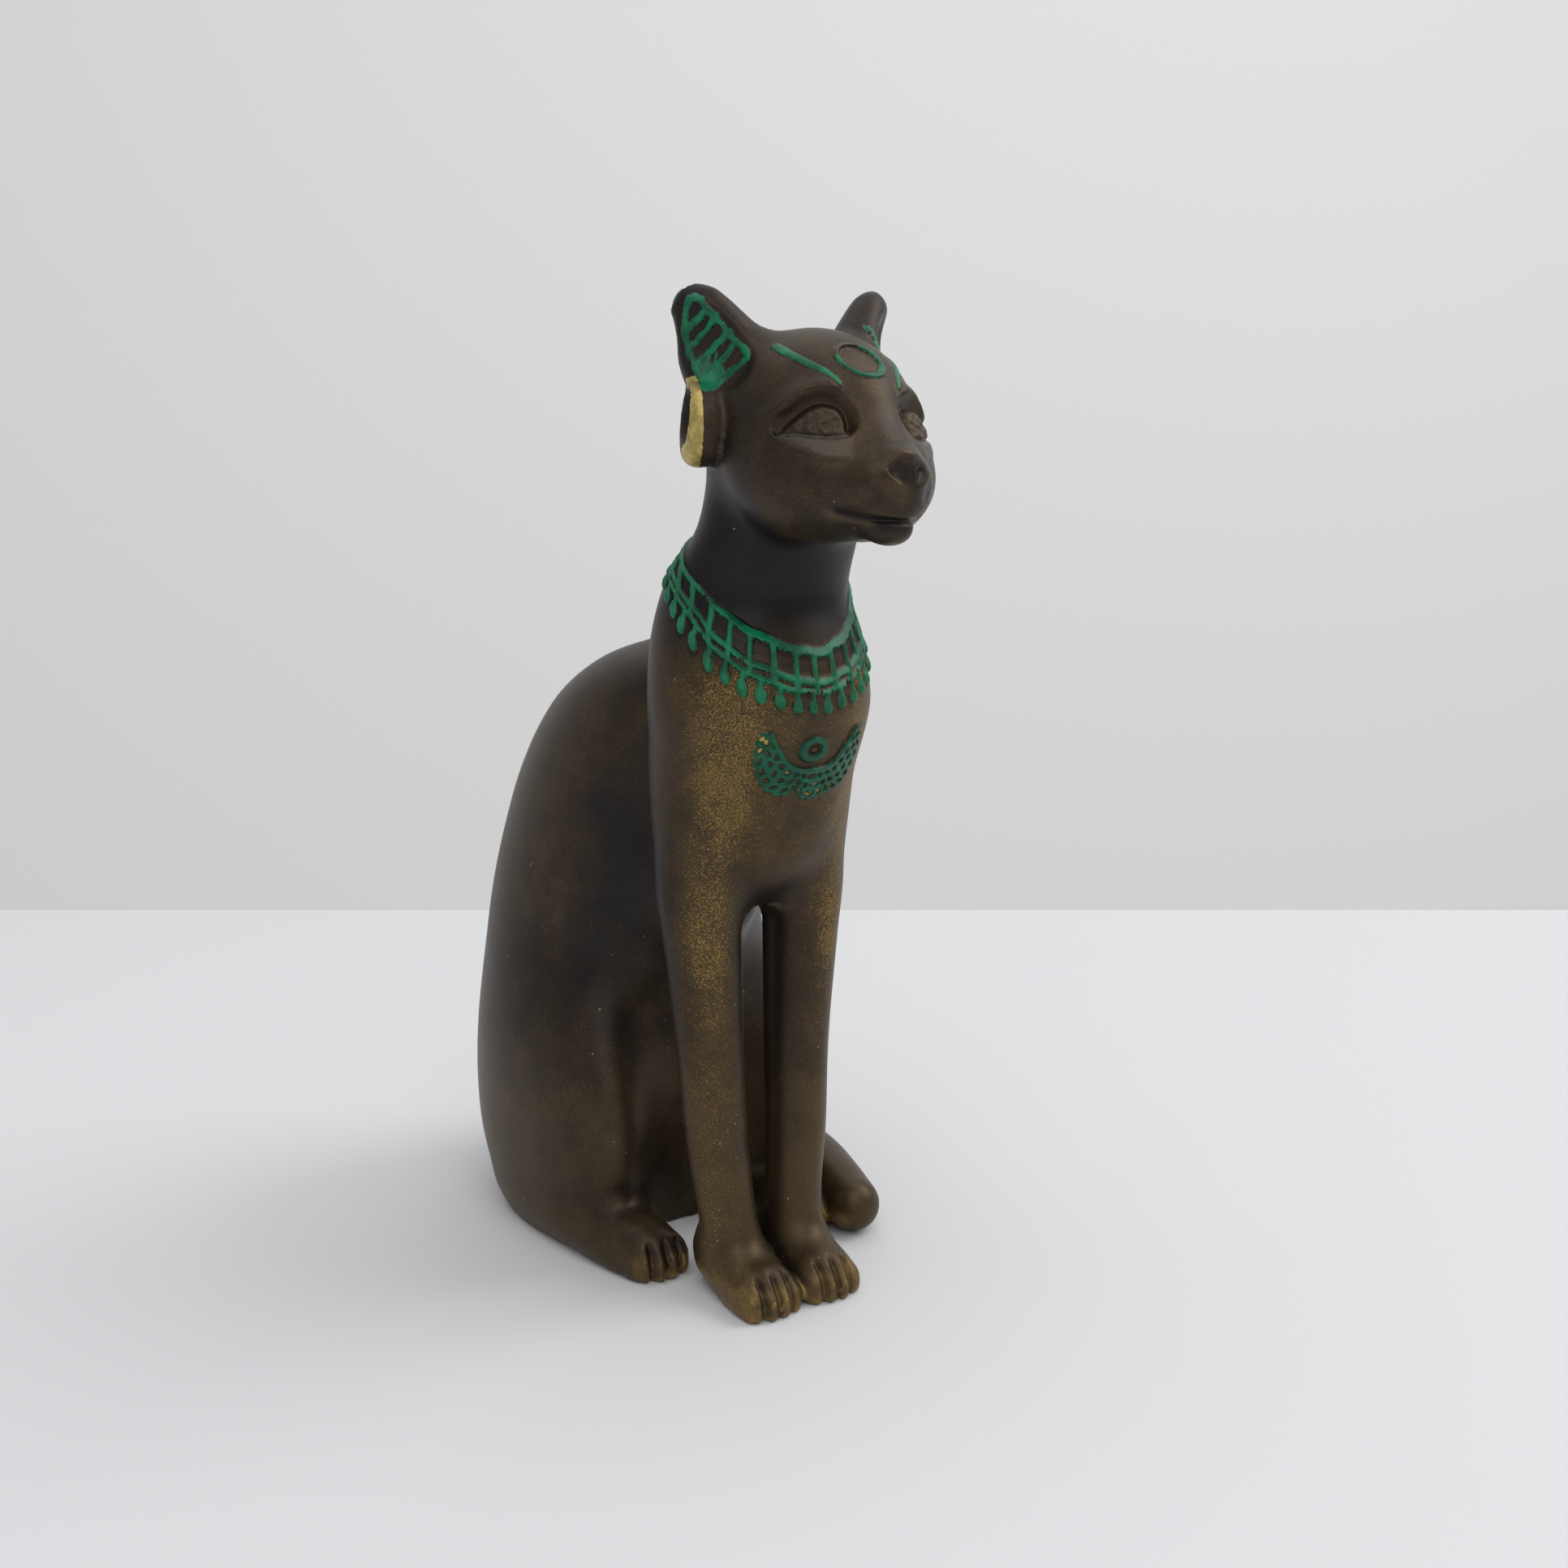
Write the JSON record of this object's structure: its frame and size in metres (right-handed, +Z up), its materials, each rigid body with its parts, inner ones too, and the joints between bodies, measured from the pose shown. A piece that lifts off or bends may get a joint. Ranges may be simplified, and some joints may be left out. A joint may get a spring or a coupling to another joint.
{
  "type": "seated cat figurine",
  "caption": "Tabletop figurine of an upright seated cat in bronze-look cast material, with a bead collar, a winged breast ornament, hoop earrings and a tail curled round one side.",
  "frame": {"origin": "middle of the outline seen from above, on the ground under the cat", "axes": "+Z up; the cat faces -Y, so its left side is +X and its back is +Y"},
  "size_m": [0.0582, 0.1086, 0.15],
  "materials": {
    "cast_bronze": "dark bronze-look casting, satin, with gold dusting and green and gold paint on the ornaments"
  },
  "bodies": {
    "root": {"cat_figure": "cast_bronze"}
  },
  "joints": []
}
